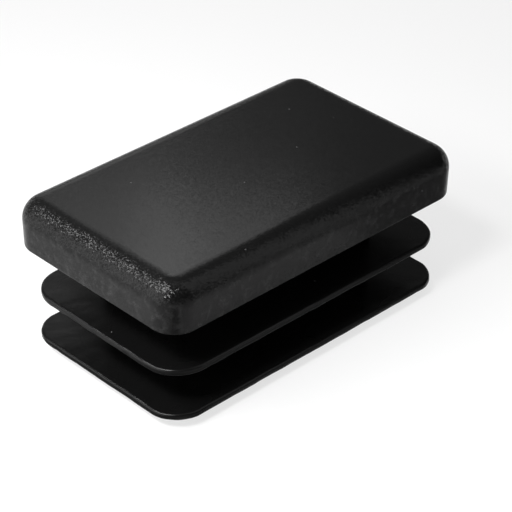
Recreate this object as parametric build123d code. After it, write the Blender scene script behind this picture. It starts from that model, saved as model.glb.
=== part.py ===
"""Ribbed end cap for a rectangular tube, moulded in one piece of soft plastic.

A flat head with rounded edges closes the tube, flush with its outside. Under it a hollow stem, open at its
end, carries two thin fins that bend against the tube's bore and hold the cap.

Frame: the origin is the centre of the shoulder, the plane where the tube's end meets the head. +Z points
out of the tube and +X along the longer side of its section. Lengths are in millimetres, angles in degrees.
"""
import os
from math import radians, tan

from build123d import *

# The tube that the cap closes
TUBE_LENGTH = 50.0  # outside, along X
TUBE_WIDTH = 30.0  # outside, along Y
THINNEST_WALL = 1.0  # tube walls that the cap is made for
THICKEST_WALL = 3.0

# Head
HEAD_HEIGHT = 6.7  # shoulder to top face
HEAD_CORNER_RADIUS = 3.6  # in plan, where the head is widest
HEAD_EDGE_RADIUS = 3.0  # round the top face
HEAD_LIP = 0.25  # the edge round the shoulder is just broken
HEAD_DRAFT = 1.5  # the side leans in towards the shoulder
CROWN_THICKNESS = 2.5  # plastic left over the hollow

# Stem
STEM_CLEARANCE = 4.5  # from the thickest wall to the stem, so that the fins are long enough to bend
STEM_CORNER_RADIUS = 1.5  # in plan, at the shoulder
STEM_WALL = 1.6  # at the open end, where it is thinnest
STEM_TAIL = 1.5  # how far the stem goes on past the last fin
STEM_DRAFT = 1.0  # outside and inside both narrow away from the mould's split
STEM_LEAD_IN = 0.6  # chamfer round the open end
STEM_ROOT_RADIUS = 0.5  # where the stem grows out of the shoulder
HOLLOW_CORNER_RADIUS = 1.2  # in plan, at the open end
HOLLOW_TOP_BEVEL = 0.8  # round the hollow's blind end

# Fins, each named by its underside
FIRST_FIN_DEPTH = 7.25  # below the shoulder
FIN_PITCH = 6.5
FIN_CORNER_RADII = (4.9, 4.3)  # one fin for each, from the head down
FIN_SQUEEZE = 0.05  # how far a rim reaches past the bore of the thinnest tube
FIN_THICKNESS = 0.9
FIN_RIM_RADIUS = 0.35  # round the rim's upper edge; the lower edge is crisp
FIN_ROOT_BEVEL = 0.4  # thickens a fin where it grows out of the stem

# Worked out from the above
STEM_INSET = THICKEST_WALL + STEM_CLEARANCE
FIN_INSET = THINNEST_WALL - FIN_SQUEEZE
FIN_DEPTHS = [FIRST_FIN_DEPTH + FIN_PITCH * i for i in range(len(FIN_CORNER_RADII))]
STEM_LENGTH = FIN_DEPTHS[-1] + STEM_TAIL
HOLLOW_DEPTH = STEM_LENGTH + HEAD_HEIGHT - CROWN_THICKNESS
ROUNDING_ERROR = 1e-4  # a face or an edge this near to a plane lies in it


def lean(height, draft):
    """How far a face with this draft moves sideways over a height."""
    return height * tan(radians(draft))


def outline(inset, corner_radius):
    """The tube's outside outline, drawn in by an inset all round."""
    return RectangleRounded(TUBE_LENGTH - 2 * inset, TUBE_WIDTH - 2 * inset, corner_radius)


def edges_at(shape, height):
    """The edges that lie wholly in the level plane at a height."""
    return shape.edges().filter_by_position(Axis.Z, height - ROUNDING_ERROR, height + ROUNDING_ERROR)


def head():
    """A drafted block, widest just under its rounded top edge."""
    shoulder_inset = lean(HEAD_HEIGHT - HEAD_EDGE_RADIUS, HEAD_DRAFT)
    shoulder = outline(shoulder_inset, HEAD_CORNER_RADIUS - shoulder_inset)
    block = extrude(shoulder, amount=HEAD_HEIGHT, taper=-HEAD_DRAFT)
    block = fillet(edges_at(block, HEAD_HEIGHT), HEAD_EDGE_RADIUS)
    return chamfer(edges_at(block, 0), HEAD_LIP)


def stem():
    """The stem's outside, solid, narrowing from the shoulder to its end."""
    return extrude(outline(STEM_INSET, STEM_CORNER_RADIUS), amount=-STEM_LENGTH, taper=STEM_DRAFT)


def hollow():
    """The space inside the stem, widest at its mouth and blind inside the head."""
    inset = STEM_INSET + lean(STEM_LENGTH, STEM_DRAFT) + STEM_WALL
    mouth = Pos(0, 0, -STEM_LENGTH) * outline(inset, HOLLOW_CORNER_RADIUS)
    core = extrude(mouth, amount=HOLLOW_DEPTH, taper=STEM_DRAFT)
    return chamfer(edges_at(core, HOLLOW_DEPTH - STEM_LENGTH), HOLLOW_TOP_BEVEL)


def fin(underside, corner_radius):
    """A flat plate as wide as one fin; the stem that it joins fills its middle."""
    plate = Pos(0, 0, underside) * extrude(outline(FIN_INSET, corner_radius), amount=FIN_THICKNESS)
    return fillet(edges_at(plate, underside + FIN_THICKNESS), FIN_RIM_RADIUS)


def closure():
    """The head with the solid stem under it, filleted where the stem grows out of the shoulder."""
    body = head() + stem()
    shoulder = body.faces().filter_by_position(Axis.Z, -ROUNDING_ERROR, ROUNDING_ERROR)[0]
    return fillet(shoulder.inner_wires()[0].edges(), STEM_ROOT_RADIUS)


def with_fin(body, underside, corner_radius):
    """The body with one more fin, bevelled where the fin grows out of the stem."""
    added = fin(underside, corner_radius)
    both = body + added
    return chamfer(new_edges(body, added, combined=both), FIN_ROOT_BEVEL)


def end_cap():
    """The whole moulding."""
    cap = closure()
    for depth, corner_radius in zip(FIN_DEPTHS, FIN_CORNER_RADII):
        cap = with_fin(cap, -depth, corner_radius)
    cap = chamfer(edges_at(cap, -STEM_LENGTH), STEM_LEAD_IN)
    return cap - hollow()


os.makedirs("parts", exist_ok=True)
export_step(end_cap(), "parts/end_cap.step")
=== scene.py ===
# %% [markdown]
# # A ribbed end cap for a rectangular tube
#
# The real object is one piece of black polyethylene. It is pushed into the open end of a tube: the head
# stays outside and covers the cut edge, the stem goes in, and two thin fins round the stem bend against the
# tube's bore and hold the cap. Nothing on it moves.
#
# The measured model comes first and is never changed. Everything that follows takes its place from it, and
# the boxes of both are printed, so that the dressed cap can be compared with the measured one.

# %% Load the measured cap
from math import ceil, cos, degrees, hypot, pi, radians, sin, tan

import bpy
from mathutils import Matrix, Vector


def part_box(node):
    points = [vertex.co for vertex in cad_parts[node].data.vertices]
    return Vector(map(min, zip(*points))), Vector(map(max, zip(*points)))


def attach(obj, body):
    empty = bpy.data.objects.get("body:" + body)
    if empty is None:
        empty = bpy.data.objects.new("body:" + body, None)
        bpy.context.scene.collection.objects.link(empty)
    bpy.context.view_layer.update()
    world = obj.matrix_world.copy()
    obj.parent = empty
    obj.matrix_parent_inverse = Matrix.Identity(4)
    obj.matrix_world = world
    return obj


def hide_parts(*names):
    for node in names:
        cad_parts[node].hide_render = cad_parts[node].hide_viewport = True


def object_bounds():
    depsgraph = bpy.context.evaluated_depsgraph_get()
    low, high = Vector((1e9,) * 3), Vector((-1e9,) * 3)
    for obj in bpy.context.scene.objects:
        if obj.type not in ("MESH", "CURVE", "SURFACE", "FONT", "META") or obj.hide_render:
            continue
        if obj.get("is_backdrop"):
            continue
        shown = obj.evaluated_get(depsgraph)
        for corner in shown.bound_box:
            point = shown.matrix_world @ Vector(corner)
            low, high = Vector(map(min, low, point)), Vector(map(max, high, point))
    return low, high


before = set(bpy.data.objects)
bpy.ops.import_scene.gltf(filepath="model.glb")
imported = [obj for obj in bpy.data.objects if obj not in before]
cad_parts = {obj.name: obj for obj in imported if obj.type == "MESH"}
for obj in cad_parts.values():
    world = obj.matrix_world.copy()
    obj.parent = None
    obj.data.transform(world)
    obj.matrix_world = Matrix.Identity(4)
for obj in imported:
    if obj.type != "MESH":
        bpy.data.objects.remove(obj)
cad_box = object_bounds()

MM = 0.001
bottom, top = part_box("end_cap")
print("cap, mm:", [round((high - low) / MM, 2) for low, high in zip(bottom, top)])

# %% [markdown]
# ## The camera
#
# A small part is shown from a distance through a long lens, so that its far end looks hardly smaller than
# its near end. The camera could be placed by three coordinates and three angles, but those say little. Here
# it is set by the angle it looks from and the point it looks at, and its axes are worked out from those.

# %% Look down on the cap's near corner
CAMERA_TURN = radians(-44.05)  # round the cap, from straight in front
CAMERA_RISE = radians(33.2)
CAMERA_ROLL = radians(0.59)
CAMERA_AIM = Vector((-4.95, -8.15, 0)) * MM
CAMERA_DISTANCE = 268.07 * MM
LENS = 152.26  # millimetres, for a 36 mm wide frame
NEAREST = 0.01  # what the camera sees starts this share of the distance in front of it


def add_camera():
    """The camera, turned so that its own Z axis points back from the cap."""
    level = Vector((cos(CAMERA_TURN), sin(CAMERA_TURN), 0))
    outward = Vector((sin(CAMERA_TURN), -cos(CAMERA_TURN), 0))
    back = outward * cos(CAMERA_RISE) + Vector((0, 0, sin(CAMERA_RISE)))
    axes = Matrix((level, back.cross(level), back)).transposed()
    camera = bpy.data.objects.new("camera", bpy.data.cameras.new("camera"))
    camera.data.lens = LENS
    camera.data.clip_start = CAMERA_DISTANCE * NEAREST
    camera.location = CAMERA_AIM + back * CAMERA_DISTANCE
    camera.rotation_euler = (axes @ Matrix.Rotation(CAMERA_ROLL, 3, "Z")).to_euler()
    bpy.context.scene.collection.objects.link(camera)
    return camera


bpy.context.scene.camera = add_camera()
bpy.context.scene.view_settings.view_transform = "Standard"
print("camera at, mm:", [round(c / MM, 1) for c in bpy.context.scene.camera.location])

# %% [markdown]
# ## Sums written as sums
#
# Node trees hold a lot of arithmetic, and a Math node for each plus and minus is hard to read. Here a small
# class stands for one socket and adds the Math nodes by itself, so that a mask or a length can be written
# as the expression that it is. Shader trees and geometry trees both understand Math nodes, so one class
# serves them both.

# %% A number that lives in a node tree
class Value:
    """One output socket. Arithmetic with it adds Math nodes to its tree."""

    def __init__(self, tree, socket):
        self.tree, self.socket = tree, socket

    def __add__(self, other):
        return self.tree.sum("ADD", self, other)

    def __sub__(self, other):
        return self.tree.sum("SUBTRACT", self, other)

    def __mul__(self, other):
        return self.tree.sum("MULTIPLY", self, other)

    def __truediv__(self, other):
        return self.tree.sum("DIVIDE", self, other)

    def __rsub__(self, other):
        return self.tree.sum("SUBTRACT", other, self)

    __radd__ = __add__
    __rmul__ = __mul__


class Tree:
    """A node tree that nodes are added to."""

    def __init__(self, nodes_and_links):
        self.own = nodes_and_links

    def node(self, kind, settings=None, inputs=None, output=0):
        """Adds a node: its settings first, then what its sockets hold or are linked to."""
        node = self.own.nodes.new(kind)
        for name, setting in (settings or {}).items():
            setattr(node, name, setting)
        for key, given in (inputs or {}).items():
            socket = named(node.inputs, key)
            if isinstance(given, Value):
                self.own.links.new(given.socket, socket)
            else:
                socket.default_value = given
        return Value(self, named(node.outputs, output)) if node.outputs else None

    def sum(self, operation, *numbers):
        """A Math node on one or two numbers."""
        return self.node("ShaderNodeMath", {"operation": operation}, dict(enumerate(numbers)))

    def vector(self, operation, *vectors, output="Vector"):
        """A Vector Math node on one or two vectors."""
        return self.node("ShaderNodeVectorMath", {"operation": operation}, dict(enumerate(vectors)), output)

    def scaled(self, vector, factor):
        """A vector made longer or shorter by a number."""
        return self.node("ShaderNodeVectorMath", {"operation": "SCALE"}, {0: vector, "Scale": factor})

    def mixed(self, share, first, second):
        """A colour between two others."""
        sockets = {"Factor": share, "A": first, "B": second}
        return self.node("ShaderNodeMix", {"data_type": "RGBA"}, sockets, "Result")


def named(sockets, key):
    """The socket with this number or name. Sockets of another data type share names and are switched off."""
    if isinstance(key, int):
        return sockets[key]
    return next(socket for socket in sockets if socket.enabled and socket.name == key)


# %% [markdown]
# ## The cap's profile
#
# Cut straight down, every side of the cap shows the same edge: over the rounded head, along the shoulder,
# down the stem, out and back round each fin, and up into the hollow. So the whole skin is one rule: walk
# along that edge, and at every step draw a rounded rectangle round the cap, drawn in from the tube's
# outline by as much as the edge is there.
#
# The edge is written as its corners, and each corner says how round it is. A moulded part has no knife
# edges: even the crisp ones are rounded by a few hundredths of a millimetre, and that is what catches the
# light along them.

# %% Sizes along the edge, in millimetres
HEAD_EDGE = 3.0  # the round over the top face
HEAD_CORNER = 3.6  # of the head's outline, where it is widest
HEAD_DRAFT = tan(radians(1.5))  # the side leans in towards the shoulder
CRISP = 0.08  # the round of an edge that looks sharp
LIP = 0.25  # round the shoulder
STEM_INSET = 7.5  # from the tube's outline, at the shoulder
STEM_CORNER = 1.5
STEM_DRAFT = tan(radians(1.0))
STEM_WALL = 1.6  # at the open end
STEM_ROOT = 0.5
STEM_LEAD_IN = 0.6  # the slanted edge round the open end
FIN_DEPTHS = (7.25, 13.75)  # of each underside, below the shoulder
FIN_CORNERS = (4.9, 4.3)  # in plan
FIN_INSET = 0.95
FIN_THICKNESS = 0.9
FIN_RIM = 0.35  # the round of a rim's upper edge
FIN_UNDER_RIM = 0.25  # and of its lower edge
FIN_ROOT = 0.4
HOLLOW_CORNER = 1.2
HOLLOW_END = 4.2  # above the shoulder
HOLLOW_ROUND = 0.8

half_length, half_width, head_height = (high / MM for high in top)
stem_end = bottom[2] / MM


# %% Walk along the edge
def head_face(height):
    """How far in the head's side is at a height. It is widest where the round begins."""
    return (head_height - HEAD_EDGE - height) * HEAD_DRAFT


def stem_face(height):
    """How far in the stem's outside is at a height."""
    return STEM_INSET - height * STEM_DRAFT


def edge_corners():
    """(inset, height, plan radius at the tube's outline, round, looseness) from the top's middle inwards."""
    middle = half_width
    stem_plan = STEM_CORNER + STEM_INSET
    corners = [
        (middle, head_height, HEAD_CORNER, 0, 0),
        (head_face(head_height), head_height, HEAD_CORNER, HEAD_EDGE, 0),
        (head_face(0), 0, HEAD_CORNER, LIP, 0),
        (stem_face(0), 0, stem_plan, STEM_ROOT, 0),
    ]
    for depth, corner in zip(FIN_DEPTHS, FIN_CORNERS):
        under, over, plan = -depth, FIN_THICKNESS - depth, corner + FIN_INSET
        corners += [
            (stem_face(over), over, stem_plan, FIN_ROOT, 0),
            (FIN_INSET, over, plan, FIN_RIM, 1),
            (FIN_INSET, under, plan, FIN_UNDER_RIM, 1),
            (stem_face(under), under, stem_plan, FIN_ROOT, 0),
        ]
    mouth = stem_face(stem_end) + STEM_WALL
    blind = mouth + (HOLLOW_END - stem_end) * STEM_DRAFT
    hollow_plan = HOLLOW_CORNER + mouth
    return corners + [
        (stem_face(stem_end), stem_end + STEM_LEAD_IN, stem_plan, CRISP, 0),
        (stem_face(stem_end) + STEM_LEAD_IN, stem_end, stem_plan, CRISP, 0),
        (mouth, stem_end, hollow_plan, CRISP, 0),
        (blind, HOLLOW_END, hollow_plan, HOLLOW_ROUND, 0),
        (middle, HOLLOW_END, hollow_plan, 0, 0),
    ]


print("the edge turns", len(edge_corners()) - 2, "times between its two ends")

# %% [markdown]
# ## Rounding the corners
#
# A corner is rounded as on paper: the compass touches both lines at the same distance from the corner, and
# a large arc takes more steps than a small one. The straight stretches between the arcs get a few points as
# well, so that a fin can waver a little along its run, and one point close to each end. That one holds the
# shading: without it a flat face would look bent for its whole width, just because its border is round.

# %% Turn the corners into points
ARC_STEPS = 5.5  # in a turn of one radian, on an arc of 1 mm
FEWEST_STEPS = 3
LONGEST_STEP = 1.2  # between points on a straight stretch
HOLD = 0.04  # from an arc's end to the point that holds the shading


def rounded(before, corner, after):
    """The points of one rounded corner. Points are (inset, height, plan radius, looseness)."""
    inset, height, plan, size, loose = corner
    here = Vector((inset, height))
    back, on = [(Vector(other[:2]) - here).normalized() for other in (before, after)]
    half = back.angle(on) / 2
    centre = here + (back + on).normalized() * size / sin(half)
    first = here + back * size / tan(half) - centre
    turn = (pi - 2 * half) * (1 if back.cross(on) > 0 else -1)
    steps = max(FEWEST_STEPS, ceil(abs(turn) * ARC_STEPS * size ** 0.5))
    points = [centre + Matrix.Rotation(-turn * step / steps, 2) @ first for step in range(steps + 1)]
    return [(x, z, plan, loose) for x, z in points]


def stretched(start, end):
    """The points between two others: one held close to each, and the rest evenly between."""
    length = hypot(end[0] - start[0], end[1] - start[1])
    if length < 3 * HOLD:  # too short for its two held points
        return []
    steps = ceil(length / LONGEST_STEP)
    shares = [HOLD / length, *(step / steps for step in range(1, steps)), 1 - HOLD / length]
    return [tuple(a + (b - a) * share for a, b in zip(start, end)) for share in shares]


def edge_points():
    """Every point of the edge, rounded corners and straight stretches."""
    corners = edge_corners()
    ends = [(inset, height, plan, loose) for inset, height, plan, _, loose in (corners[0], corners[-1])]
    arcs = [rounded(*corners[i - 1 : i + 2]) for i in range(1, len(corners) - 1)]
    points = [ends[0]]
    for arc in [*arcs, ends[1:]]:
        points += stretched(points[-1], arc[0]) + arc
    return points


profile = edge_points()
print("points along the edge:", len(profile))

# %% [markdown]
# ## The skin as a geometry tree
#
# The points of the edge become a bare mesh, a string of vertices, and a Geometry Nodes tree does the rest.
# It starts from a flat grid with one row for each point of the edge and one column for each step round the
# cap. Every grid vertex then looks up its row's point and moves to its place on that rounded rectangle. The
# grid's two long ends meet and are merged, and its first and last rows each close up on a line, which shuts
# the top and the hollow. Walked this way round, the faces look inwards, so a last node turns them.
#
# The alternative is a stack of extruded and filleted blocks. It gives the same shape, but its faces follow
# the cuts, and a rim that should waver a little has nothing to bend with.

# %% Describe the tree's inputs
def add_inputs(group, sockets):
    """Named inputs for a geometry tree, with their defaults. Returns each input's identifier."""
    found = {}
    for name, kind, default in sockets:
        socket = group.interface.new_socket(name, in_out="INPUT", socket_type=kind)
        if default is not None:
            socket.default_value = default
        found[name] = socket.identifier
    group.interface.new_socket("Geometry", in_out="OUTPUT", socket_type="NodeSocketGeometry")
    return found


def spread(tree, vector):
    """The three numbers of a vector."""
    parts = tree.node("ShaderNodeSeparateXYZ", inputs={"Vector": vector})
    return [Value(tree, socket) for socket in parts.socket.node.outputs]


def corner_signs(tree, quarter):
    """Which way a quarter's corner lies from the middle: 1 or -1 along the length and the width."""
    turn = (quarter + 0.5) * (pi / 2)
    return [tree.sum("SIGN", tree.sum(wave, turn)) for wave in ("COSINE", "SINE")]


# %% Place the grid's vertices on the skin
def ring_places(tree, given, grid_place):
    """Where each grid vertex goes: its column is a step round the cap, its row a point of the edge."""
    column, row, _ = [tree.sum("ROUND", part) for part in spread(tree, grid_place)]
    quarter_steps = given["Corner Steps"] + given["Side Steps"]
    quarter = tree.sum("FLOOR", column / quarter_steps)
    step = column - quarter * quarter_steps
    turn = tree.sum("MINIMUM", step / given["Corner Steps"], 1)
    along = tree.sum("MAXIMUM", (step - given["Corner Steps"]) / given["Side Steps"], 0)
    angle = (quarter + turn) * (pi / 2)
    here, onward = corner_signs(tree, quarter), corner_signs(tree, quarter + 1)
    side = [a + (b - a) * along for a, b in zip(here, onward)]

    position = tree.node("GeometryNodeInputPosition")
    looked_up = tree.node(
        "GeometryNodeSampleIndex",
        {"data_type": "FLOAT_VECTOR"},
        {"Geometry": given["Geometry"], "Value": position, "Index": row},
    )
    inset, plan, height = spread(tree, looked_up)
    radius = tree.sum("MAXIMUM", plan - inset, 0)
    reach = [given["Half Length"] - inset - radius, given["Half Width"] - inset - radius]
    around = [radius * tree.sum(wave, angle) for wave in ("COSINE", "SINE")]
    x, y = [s * tree.sum("MAXIMUM", r, 0) + a for s, r, a in zip(side, reach, around)]
    return tree.node("ShaderNodeCombineXYZ", inputs={"X": x, "Y": y, "Z": height}), row


# %% Let the fins waver
def waver(tree, given, row, place):
    """A small push on the vertices of a fin's rim, in an uneven pattern that runs along it."""
    loose = tree.node("GeometryNodeInputNamedAttribute", {"data_type": "FLOAT"}, {"Name": "loose"})
    share = tree.node(
        "GeometryNodeSampleIndex",
        {"data_type": "FLOAT"},
        {"Geometry": given["Geometry"], "Value": loose, "Index": row},
    )
    uneven = tree.node(
        "ShaderNodeTexNoise",
        {"noise_dimensions": "4D"},
        {"Vector": place, "W": given["Seed"], "Scale": given["Waver Scale"], "Detail": 2.0},
        "Color",
    )
    return tree.scaled(tree.vector("SUBTRACT", uneven, (0.5, 0.5, 0.5)), given["Waver"] * share * 2)


# %% Build the tree
MERGE_DISTANCE = 0.001 * MM
SKIN_INPUTS = [
    ("Geometry", "NodeSocketGeometry", None),
    ("Half Length", "NodeSocketFloat", half_length * MM),
    ("Half Width", "NodeSocketFloat", half_width * MM),
    ("Corner Steps", "NodeSocketInt", 16),
    ("Side Steps", "NodeSocketInt", 48),
    ("Waver", "NodeSocketFloat", 0.1 * MM),
    ("Waver Scale", "NodeSocketFloat", 500.0),
    ("Seed", "NodeSocketFloat", 4.0),
    ("Material", "NodeSocketMaterial", None),
]


def skin_tree():
    """The geometry tree that wraps rounded rectangles round the edge's points."""
    group = bpy.data.node_groups.new("cap_skin", "GeometryNodeTree")
    identifiers = add_inputs(group, SKIN_INPUTS)
    tree = Tree(group)
    entrance = tree.node("NodeGroupInput").socket.node
    given = {name: Value(tree, entrance.outputs[name]) for name, _, _ in SKIN_INPUTS}

    steps = (given["Corner Steps"] + given["Side Steps"]) * 4
    rows = tree.node(
        "GeometryNodeAttributeDomainSize",
        {"component": "MESH"},
        {"Geometry": given["Geometry"]},
        "Point Count",
    )
    grid = tree.node(
        "GeometryNodeMeshGrid",
        inputs={"Size X": steps, "Size Y": rows - 1, "Vertices X": steps + 1, "Vertices Y": rows},
    )
    centred = tree.node("ShaderNodeCombineXYZ", inputs={"X": steps / 2, "Y": (rows - 1) / 2})
    grid_place = tree.vector("ADD", tree.node("GeometryNodeInputPosition"), centred)
    place, row = ring_places(tree, given, grid_place)
    moved = {"Geometry": grid, "Position": place, "Offset": waver(tree, given, row, place)}
    skin = tree.node("GeometryNodeSetPosition", inputs=moved)
    skin = tree.node("GeometryNodeMergeByDistance", inputs={"Geometry": skin, "Distance": MERGE_DISTANCE})
    skin = tree.node("GeometryNodeFlipFaces", inputs={"Mesh": skin})
    skin = tree.node("GeometryNodeRealizeInstances", inputs={"Geometry": skin})
    skin = tree.node("GeometryNodeSetMaterial", inputs={"Geometry": skin, "Material": given["Material"]})
    tree.node("NodeGroupOutput", inputs={"Geometry": skin})
    return group, identifiers


skin, skin_inputs = skin_tree()
print("skin tree:", len(skin.nodes), "nodes, with the inputs", ", ".join(skin_inputs))

# %% [markdown]
# ## The material
#
# Black polyethylene is nearly a mirror for what is bright around it and nearly nothing else, so its look is
# made by its gloss. The head's mould was etched with a fine grain, which breaks a lamp's reflection into
# sparks along the round. The fins came out of a smooth mould. Handling has rubbed the head's sides a little
# dull, and a few grains of dust lie on it.
#
# An image of the grain would need the cap unwrapped, and would blur from close by. Instead each cell of a
# Voronoi pattern in object space stands for one etched facet, and its random colour says which way the facet
# leans. A Bump node can't do that: it needs a slope to follow, and between two cells there is only a step.

# %% Masks and patterns
def blank(owner):
    """The emptied node tree of a material or a world."""
    owner.use_nodes = True
    owner.node_tree.nodes.clear()
    return Tree(owner.node_tree)


def passage(tree, value, low, high):
    """0 below one value and 1 above another, with a smooth passage between."""
    limits = {"Value": value, "From Min": low, "From Max": high}
    return tree.node("ShaderNodeMapRange", {"interpolation_type": "SMOOTHSTEP"}, limits)


def noise(tree, place, size, detail=2.0):
    """Soft blotches of about this size, from 0 to 1."""
    return tree.node("ShaderNodeTexNoise", inputs={"Vector": place, "Scale": 1 / size, "Detail": detail})


def cells(tree, place, size, output):
    """Random cells of about this size: their Color, or the Distance from their middles, as a share of it."""
    return tree.node("ShaderNodeTexVoronoi", inputs={"Vector": place, "Scale": 1 / size}, output=output)


# %% The etched grain
GRAIN_SIZE = 0.13 * MM  # across one facet
GRAIN_LEAN = 0.22  # how far a facet leans at most, as a slope
SWELL_SIZE = 0.8 * MM  # the slow unevenness under the grain
SWELL_DEPTH = 0.008 * MM


def grained(tree, place, normal, amount):
    """The surface normal with each facet leaning its own way, over a slow unevenness."""
    facets = cells(tree, place, GRAIN_SIZE, "Color")
    lean = tree.scaled(tree.vector("SUBTRACT", facets, (0.5, 0.5, 0.5)), amount * (2 * GRAIN_LEAN))
    leaning = tree.vector("NORMALIZE", tree.vector("ADD", normal, lean))
    swell = {"Distance": SWELL_DEPTH, "Height": noise(tree, place, SWELL_SIZE), "Normal": leaning}
    return tree.node("ShaderNodeBump", inputs=swell)


print("grain facets along the cap:", round(2 * half_length * MM / GRAIN_SIZE))

# %% The colour, with its haze and dust
BLACK = 0.003
HAZE = 0.012  # where the side is rubbed dull
HAZE_SIZE = 0.9 * MM
HAZE_DETAIL = 4.0  # layers of ever finer blotches
HAZE_EDGE = (0.45, 0.75)  # from clean to dull, in the noise
DUST = 0.05
DUST_APART = 4.4 * MM
DUST_RADIUS = 0.13 * MM


def grey(level):
    """A neutral colour."""
    return (level, level, level, 1)


def dusty_black(tree, place, on_side):
    """Black, in places dull on the head's sides, with a few specks of dust."""
    blotch = passage(tree, noise(tree, place, HAZE_SIZE, HAZE_DETAIL), *HAZE_EDGE)
    hazed = tree.mixed(blotch * on_side, grey(BLACK), grey(HAZE))
    speck = tree.sum("LESS_THAN", cells(tree, place, DUST_APART, "Distance"), DUST_RADIUS / DUST_APART)
    return tree.mixed(speck, hazed, grey(DUST))


print("specks of dust, mm across:", 2 * DUST_RADIUS / MM)

# %% Tell the head's parts apart
SHOULDER = (-0.3, 0.1)  # passages between two finishes, as heights in millimetres
TOP_EDGE = (head_height - 0.25, head_height - 0.02)
ROUND_START = (head_height - HEAD_EDGE, head_height - 2)
SIDE_END = (head_height - HEAD_EDGE, head_height - 1.5)
END_FACING = (0.05, 0.35)  # from the long sides' round to the ends' round, by how far it faces along X


def masks(tree, height, normal):
    """Where the head, its upright sides, its round and its two ends are, each from 0 to 1."""
    on_head = passage(tree, height, *SHOULDER)
    on_round = passage(tree, height, *ROUND_START) - passage(tree, height, *TOP_EDGE)
    on_side = on_head - passage(tree, height, *SIDE_END)
    at_end = passage(tree, tree.sum("ABSOLUTE", spread(tree, normal)[0]), *END_FACING)
    return on_head, on_side, on_round, at_end


print("the round starts at, mm:", [round(height, 2) for height in ROUND_START])

# %% Mix the polyethylene
GLOSS = 0.13  # of the mirror part; 0.5 is a clean hard plastic
HEAD_ROUGHNESS, FIN_ROUGHNESS = 0.25, 0.27
RUB_SIZE = 8 * MM  # patches that are a little more or less glossy
RUB = 0.08
FIN_GRAIN, FLAT_GRAIN = 0.06, 0.24  # shares of the full grain, which is on the round at the head's two ends
LONG_GRAIN = 0.35  # how much of what the round adds is left along the long sides


def polyethylene():
    """Black plastic, etched on the head and smooth on the stem and fins."""
    material = bpy.data.materials.new("black_polyethylene")
    tree = blank(material)
    place = tree.node("ShaderNodeTexCoord", output="Object")
    normal = tree.node("ShaderNodeNewGeometry", output="Normal")
    on_head, on_side, on_round, at_end = masks(tree, spread(tree, place)[2] / MM, normal)
    roughness = FIN_ROUGHNESS + on_head * (HEAD_ROUGHNESS - FIN_ROUGHNESS)
    etched = on_round * (LONG_GRAIN + at_end * (1 - LONG_GRAIN))
    grain = FIN_GRAIN + on_head * (FLAT_GRAIN - FIN_GRAIN) + etched * (1 - FLAT_GRAIN)
    surface = tree.node(
        "ShaderNodeBsdfPrincipled",
        inputs={
            "Base Color": dusty_black(tree, place, on_side),
            "Roughness": roughness + (noise(tree, place, RUB_SIZE) - 0.5) * RUB,
            "Specular IOR Level": GLOSS,
            "Normal": grained(tree, place, normal, grain),
        },
    )
    tree.node("ShaderNodeOutputMaterial", inputs={"Surface": surface})
    print(material.name, "has", len(material.node_tree.nodes), "nodes")
    return material


black = polyethylene()

# %% [markdown]
# ## The cap itself
#
# The geometry tree is a modifier on the string of points. Its material is given by the input's identifier,
# because a modifier knows its inputs by that and not by their names. The evaluated result is then copied to
# a plain mesh, and the string with its modifier goes away: what is left is a closed skin at the origin that
# any other program can read.

# %% Wrap the skin round the edge
def edge_mesh():
    """The edge as a string of vertices. Each holds (inset, plan radius, height) and how loose it is."""
    mesh = bpy.data.meshes.new("edge")
    mesh.from_pydata([(x * MM, plan * MM, z * MM) for x, z, plan, _ in profile], [], [])
    mesh.attributes.new("loose", "FLOAT", "POINT").data.foreach_set("value", [point[3] for point in profile])
    return mesh


def moulding():
    """The whole cap as one plain mesh."""
    source = bpy.data.objects.new("edge", edge_mesh())
    bpy.context.scene.collection.objects.link(source)
    modifier = source.modifiers.new("skin", "NODES")
    modifier.node_group = skin
    modifier[skin_inputs["Material"]] = black
    evaluated = source.evaluated_get(bpy.context.evaluated_depsgraph_get())
    mesh = bpy.data.meshes.new_from_object(evaluated)
    bpy.data.objects.remove(source)
    mesh.name = "cap"
    mesh.shade_smooth()
    cap = bpy.data.objects.new("cap", mesh)
    bpy.context.scene.collection.objects.link(cap)
    return cap


cap = moulding()
print("cap:", len(cap.data.vertices), "vertices,", len(cap.data.polygons), "faces")

# %% Put it in the measured cap's place
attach(cap, "root")
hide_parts("end_cap")

# %% [markdown]
# ## Floor, and a card of painted shade
#
# A small black part is usually shown on white, and a glossy part shows that white again in its sides. The
# floor glows for the rays that come from the camera or off the gloss, so it looks white without shining
# on the cap. The rest of it is plain paper, which keeps the cap's shadow.
#
# With white all round, the sides of the cap would look washed out. So a grey card of painted shade lies
# beside it: a sheet that glows dimly and needs no light, and stands in for the cap's shadow on the floor,
# where the sides and rims mirror it. Only reflections see the card.

# %% Lay the floor
FLOOR_HALF = 1500  # millimetres, so that the floor fills every view from above
FLOOR_COLOUR = 0.8
FLOOR_GLOW = 0.71  # the share of white that background rays see


def background_rays(tree):
    """1 for the rays that show the background: straight from the camera, mirrored or passed through."""
    path = tree.node("ShaderNodeLightPath").socket.node
    names = ("Is Camera Ray", "Is Glossy Ray", "Is Transmission Ray")
    straight, mirrored, through = [Value(tree, path.outputs[name]) for name in names]
    return tree.sum("MINIMUM", straight + mirrored + through, 1)


def paper():
    """White paper that also glows for background rays."""
    material = bpy.data.materials.new("paper")
    tree = blank(material)
    plain = tree.node("ShaderNodeBsdfDiffuse", inputs={"Color": grey(FLOOR_COLOUR)})
    glow = tree.node("ShaderNodeEmission", inputs={"Strength": 1.0})
    both = tree.node("ShaderNodeMixShader", inputs={0: background_rays(tree) * FLOOR_GLOW, 1: plain, 2: glow})
    tree.node("ShaderNodeOutputMaterial", inputs={"Surface": both})
    return material


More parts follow.
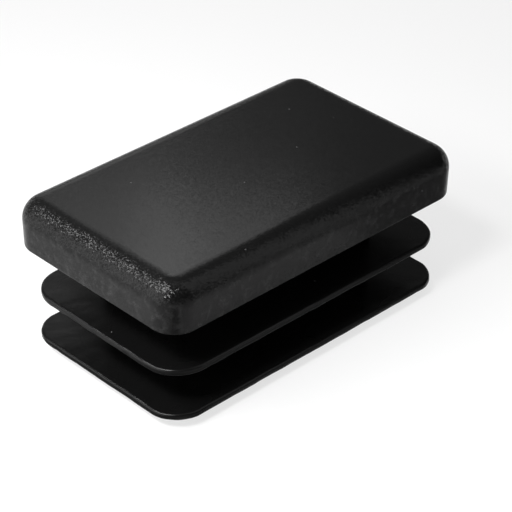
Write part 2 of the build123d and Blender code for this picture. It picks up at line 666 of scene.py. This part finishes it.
def add_sheet(name, outline, height, material):
    """A level sheet at a height. Lengths in millimetres."""
    mesh = bpy.data.meshes.new(name)
    mesh.from_pydata([(x * MM, y * MM, height * MM) for x, y in outline], [], [range(len(outline))])
    mesh.materials.append(material)
    sheet = bpy.data.objects.new(name, mesh)
    bpy.context.scene.collection.objects.link(sheet)
    sheet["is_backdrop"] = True
    print(name, "lies at, mm:", round(height, 2))
    return sheet


square = [(x * FLOOR_HALF, y * FLOOR_HALF) for x, y in ((-1, -1), (1, -1), (1, 1), (-1, 1))]
add_sheet("floor", square, stem_end, paper())

# %% Lay the card of painted shade
# painted shade: a dim grey glow, seen only in reflections, that stands in for the cap's shadow on the floor
SHADE_CARD_GLOW = 0.3
SHADE_CARD_HEIGHT = 0.1  # above the floor
SHADE_CARD = [
    *((-24, -15.6), (-24, 15), (-30, 15), (-30, 4), (-38, 4), (-38, -9), (-42, -11)),  # by the short side
    *((-36, -20), (-50, -34), (-42, -44), (-28, -27)),  # out from the near corner
    *((24, -29), (34, -60), (80, -60), (80, -15.6)),  # along the long side
]


def shade_card_material():
    """Painted shade: an even dim glow that needs no light."""
    material = bpy.data.materials.new("shade_card")
    tree = blank(material)
    glow = tree.node("ShaderNodeEmission", inputs={"Strength": SHADE_CARD_GLOW})
    tree.node("ShaderNodeOutputMaterial", inputs={"Surface": glow})
    return material


shade_card = add_sheet("shade_card", SHADE_CARD, stem_end + SHADE_CARD_HEIGHT, shade_card_material())
# only reflections see the card, so its painted shade shows in the gloss alone
shade_card.visible_camera = shade_card.visible_diffuse = shade_card.visible_shadow = False

# %% [markdown]
# ## Room and lamps
#
# On a black glossy part, light is seen only as a reflection, so each lamp is hung where one surface mirrors
# it to the camera. The room gives the even grey of the top. Three small lamps hang near, and their
# reflection is the pale patch on the top. A strip hangs as near, and its reflection is the sparkling line
# along the round of the short side. One distant lamp would light all of these at once, and none of them
# well. The other lamps are weaker or far away, and bring out the sides, the rims and the tops of the fins.

# %% Light the room
ROOM_SIDE = (0.1, 0.75, 0.65)  # towards the bright side of the room
ROOM_SIDE_LIGHT, ROOM_LIGHT = 0.3, 0.05


def add_world():
    """A dim room, lighter behind the cap than in front of it."""
    world = bpy.data.worlds.new("room")
    bpy.context.scene.world = world
    tree = blank(world)
    direction = tree.node("ShaderNodeTexCoord", output="Generated")
    facing = tree.vector("DOT_PRODUCT", direction, ROOM_SIDE, output="Value")
    above = spread(tree, direction)[2]
    light = tree.sum("MAXIMUM", facing, 0) * ROOM_SIDE_LIGHT + tree.sum("MAXIMUM", above, 0) * ROOM_LIGHT
    glow = tree.node("ShaderNodeBackground", inputs={"Strength": light})
    tree.node("ShaderNodeOutputWorld", inputs={"Surface": glow})


add_world()
level = Vector((*ROOM_SIDE[:2], 0))
print("the room is lightest at, degrees up:", round(degrees(Vector(ROOM_SIDE).angle(level))))

# %% Hang the lamps
MIDDLE = (0, 0, 0)
PATCH = (-17, -1, head_height)  # where the top mirrors the three near lamps
SHORT_ROUND, LONG_ROUND = (-23.5, 0, 5.6), (-19, -14, 5.6)  # and where the head's rounds mirror a lamp
LAMPS = {  # turn from the cap's length, rise, distance in mm, (width, height) in mm, watts, aim
    "key": (162, 51, 96, (104, 20), 0.19, SHORT_ROUND),
    "corner": (196, 53, 350, (70, 50), 0.8, MIDDLE),
    "back": (64, 21, 350, (160, 100), 0.06, MIDDLE),
    "side": (161, 12, 250, (330, 140), 0.55, MIDDLE),
    "front": (317, 40, 60, (30, 100), 0.014, LONG_ROUND),
    "over": (0, 90, 350, (300, 300), 0.07, MIDDLE),
    "patch_right": (36, 42, 60, (26, 26), 0.0040, PATCH),
    "patch_left": (58, 42, 64, (28, 28), 0.0030, PATCH),
    "patch_far": (46, 34, 130, (50, 50), 0.0019, PATCH),
}


def add_lamp(name, turn, rise, distance, size, watts, aim):
    """A soft lamp, hung round the point that it shines on."""
    turn, rise = radians(turn), radians(rise)
    towards = Vector((cos(turn) * cos(rise), sin(turn) * cos(rise), sin(rise)))
    lamp = bpy.data.objects.new(name, bpy.data.lights.new(name, "AREA"))
    lamp.data.shape = "RECTANGLE"
    lamp.data.size, lamp.data.size_y = size[0] * MM, size[1] * MM
    lamp.data.energy = watts
    lamp.location = (Vector(aim) + towards * distance) * MM
    lamp.rotation_euler = towards.to_track_quat("Z", "Y").to_euler()
    lamp.visible_camera = False
    bpy.context.scene.collection.objects.link(lamp)


for name, setting in LAMPS.items():
    add_lamp(name, *setting)
print("lamps:", ", ".join(LAMPS))

# %% [markdown]
# ## The two boxes
#
# Both boxes, of the measured cap and of the finished one, are printed, so that anyone can compare them.
# The finished cap must be as big as the measured one: no larger anywhere, and smaller by no more than the
# thickness of a hair.

# %% Print the boxes
bpy.context.view_layer.update()
visual_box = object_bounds()
boxes = {"cad": [list(corner) for corner in cad_box], "visual": [list(corner) for corner in visual_box]}
for name, (low, high) in boxes.items():
    print(name, "mm:", [round((b - a) / MM, 3) for a, b in zip(low, high)])
